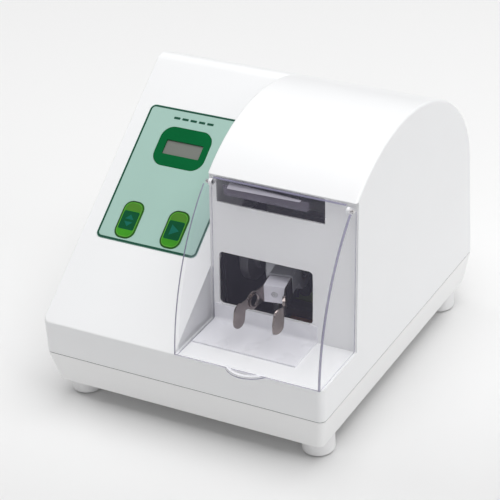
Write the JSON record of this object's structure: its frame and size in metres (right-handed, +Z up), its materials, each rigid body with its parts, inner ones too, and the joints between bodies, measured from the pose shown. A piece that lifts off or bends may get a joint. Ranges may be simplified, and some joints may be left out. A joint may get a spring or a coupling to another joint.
{
  "type": "dental amalgamator",
  "caption": "Bench-top dental capsule mixer: white housing with a sloping key panel, a clear hinged cover over a chamber with a sprung capsule clip, and a motor-driven wobbling arm behind it.",
  "frame": {"origin": "on the table under the centre of the box round the whole device", "axes": "+Z up, +Y to the rear where the mains inlet is, +X to the right side with the mixing chamber"},
  "size_m": [0.205, 0.2408, 0.187],
  "materials": {
    "housing_white": "moulded plastic, satin white",
    "tray_white": "moulded plastic, satin white",
    "foot_white": "moulded plastic, white",
    "pad_rubber": "dark rubber",
    "steel": "machined steel",
    "screw_steel": "zinc plated",
    "liner_white": "moulded plastic, white",
    "label_green": "printed film, pale green",
    "bezel_green": "dark green, satin",
    "display_grey": "grey liquid-crystal glass",
    "board_green": "circuit board, olive",
    "black_plastic": "black plastic",
    "film": "clear amber film",
    "dome_steel": "spring steel",
    "key_green": "bright green, soft gloss",
    "cover_clear": "clear, faint violet tint",
    "wheel_iron": "turned",
    "rotor_iron": "laminated",
    "copper": "copper",
    "bearing_steel": "ground steel",
    "hub_grey": "die-cast, bead blasted",
    "clip_block": "pale plastic",
    "clip_steel": "spring steel strip, bronze tinge",
    "can_steel": "drawn steel can",
    "magnet": "ferrite",
    "bracket_dark": "black finish",
    "mount_rubber": "soft rubber",
    "guide_plastic": "low-friction plastic",
    "core_iron": "laminated iron",
    "winding": "enamelled copper",
    "sink": "extruded",
    "lead_red": "insulated wire",
    "lead_blue": "insulated wire",
    "pin_brass": "plated brass",
    "fuse_glass": "glass tube",
    "rocker_black": "black, soft gloss"
  },
  "bodies": {
    "housing": {"upper_housing": "housing_white", "base_tray": "tray_white", "feet": "foot_white", "foot_pads": "pad_rubber", "foot_screws": "screw_steel", "housing_screws": "screw_steel", "chamber_liner": "liner_white", "label_panel": "label_green", "display_bezel": "bezel_green", "display_glass": "display_grey", "control_board": "board_green", "control_board_parts": "black_plastic", "membrane_circuit": "film", "snap_domes": "dome_steel", "hinge_pins": "steel", "interlock_switch": "black_plastic", "switch_bracket": "steel", "small_screws": "screw_steel", "motor_can": "can_steel", "motor_end_cap": "black_plastic", "motor_bearings": "bearing_steel", "motor_magnets": "magnet", "bracket_screws": "screw_steel", "motor_bracket": "bracket_dark", "rubber_mounts": "mount_rubber", "base_screws": "screw_steel", "bearing_pillar": "hub_grey", "outboard_bearing": "bearing_steel", "guide_bar": "guide_plastic", "power_board": "board_green", "power_board_parts": "black_plastic", "board_brackets": "steel", "transformer_core": "core_iron", "transformer_winding": "winding", "heat_sink": "sink", "motor_leads": "lead_red", "mains_leads": "lead_blue", "mains_inlet": "black_plastic", "inlet_pins": "pin_brass", "inlet_screws": "screw_steel", "power_switch_frame": "black_plastic"},
    "shaft": {"drive_shaft": "steel", "motor_rotor": "rotor_iron", "commutator": "copper", "flywheel": "wheel_iron", "crank_sleeve": "steel"},
    "arm": {"rocker_hub": "hub_grey", "hub_bearings": "bearing_steel", "retaining_rings": "dome_steel", "guide_pin": "steel", "clip_block": "clip_block", "capsule_clip": "clip_steel", "clip_screw": "screw_steel"},
    "cover": {"clear_cover": "cover_clear"},
    "set_key": {"set_key": "key_green"},
    "start_key": {"start_key": "key_green"},
    "plunger": {"switch_plunger": "black_plastic"},
    "fuse_drawer": {"fuse_drawer": "rocker_black", "fuse": "fuse_glass"},
    "power_rocker": {"power_rocker": "rocker_black"}
  },
  "joints": [
    {"name": "motor_spin", "type": "hinge", "parent": "housing", "child": "shaft", "pos_m": [0.0365, -0.02685, 0.0895], "axis": [1, 0, 0], "continuous": true},
    {"name": "hub_wobble", "type": "hinge", "parent": "shaft", "child": "arm", "pos_m": [0.0365, -0.02685, 0.0895], "axis": [0.9848, 0.1736, 0], "continuous": true},
    {"name": "cover_hinge", "type": "hinge", "parent": "housing", "child": "cover", "pos_m": [0.04985, -0.05886, 0.15781], "axis": [-1, 0, 0], "range_deg": [0, 75]},
    {"name": "plunger_travel", "type": "slide", "parent": "housing", "child": "plunger", "axis": [0, -1, 0], "range_m": [0, 0.0015]},
    {"name": "set_key_press", "type": "slide", "parent": "housing", "child": "set_key", "axis": [0, 0.5807, -0.8141], "range_m": [0, 0.00035], "stiffness_N_per_m": 5000},
    {"name": "start_key_press", "type": "slide", "parent": "housing", "child": "start_key", "axis": [0, 0.5807, -0.8141], "range_m": [0, 0.00035], "stiffness_N_per_m": 5000},
    {"name": "fuse_drawer_slide", "type": "slide", "parent": "housing", "child": "fuse_drawer", "axis": [0, 1, 0], "range_m": [0, 0.018]},
    {"name": "power_rocker_tilt", "type": "hinge", "parent": "housing", "child": "power_rocker", "pos_m": [-0.0065, 0.11265, 0.072], "axis": [-1, 0, 0], "range_deg": [0, 20]}
  ],
  "couplings": [
    {"joint": "hub_wobble", "follows": "motor_spin", "ratio": -1},
    {"joint": "plunger_travel", "follows": "cover_hinge", "m_per_rad": 0.0011458}
  ]
}
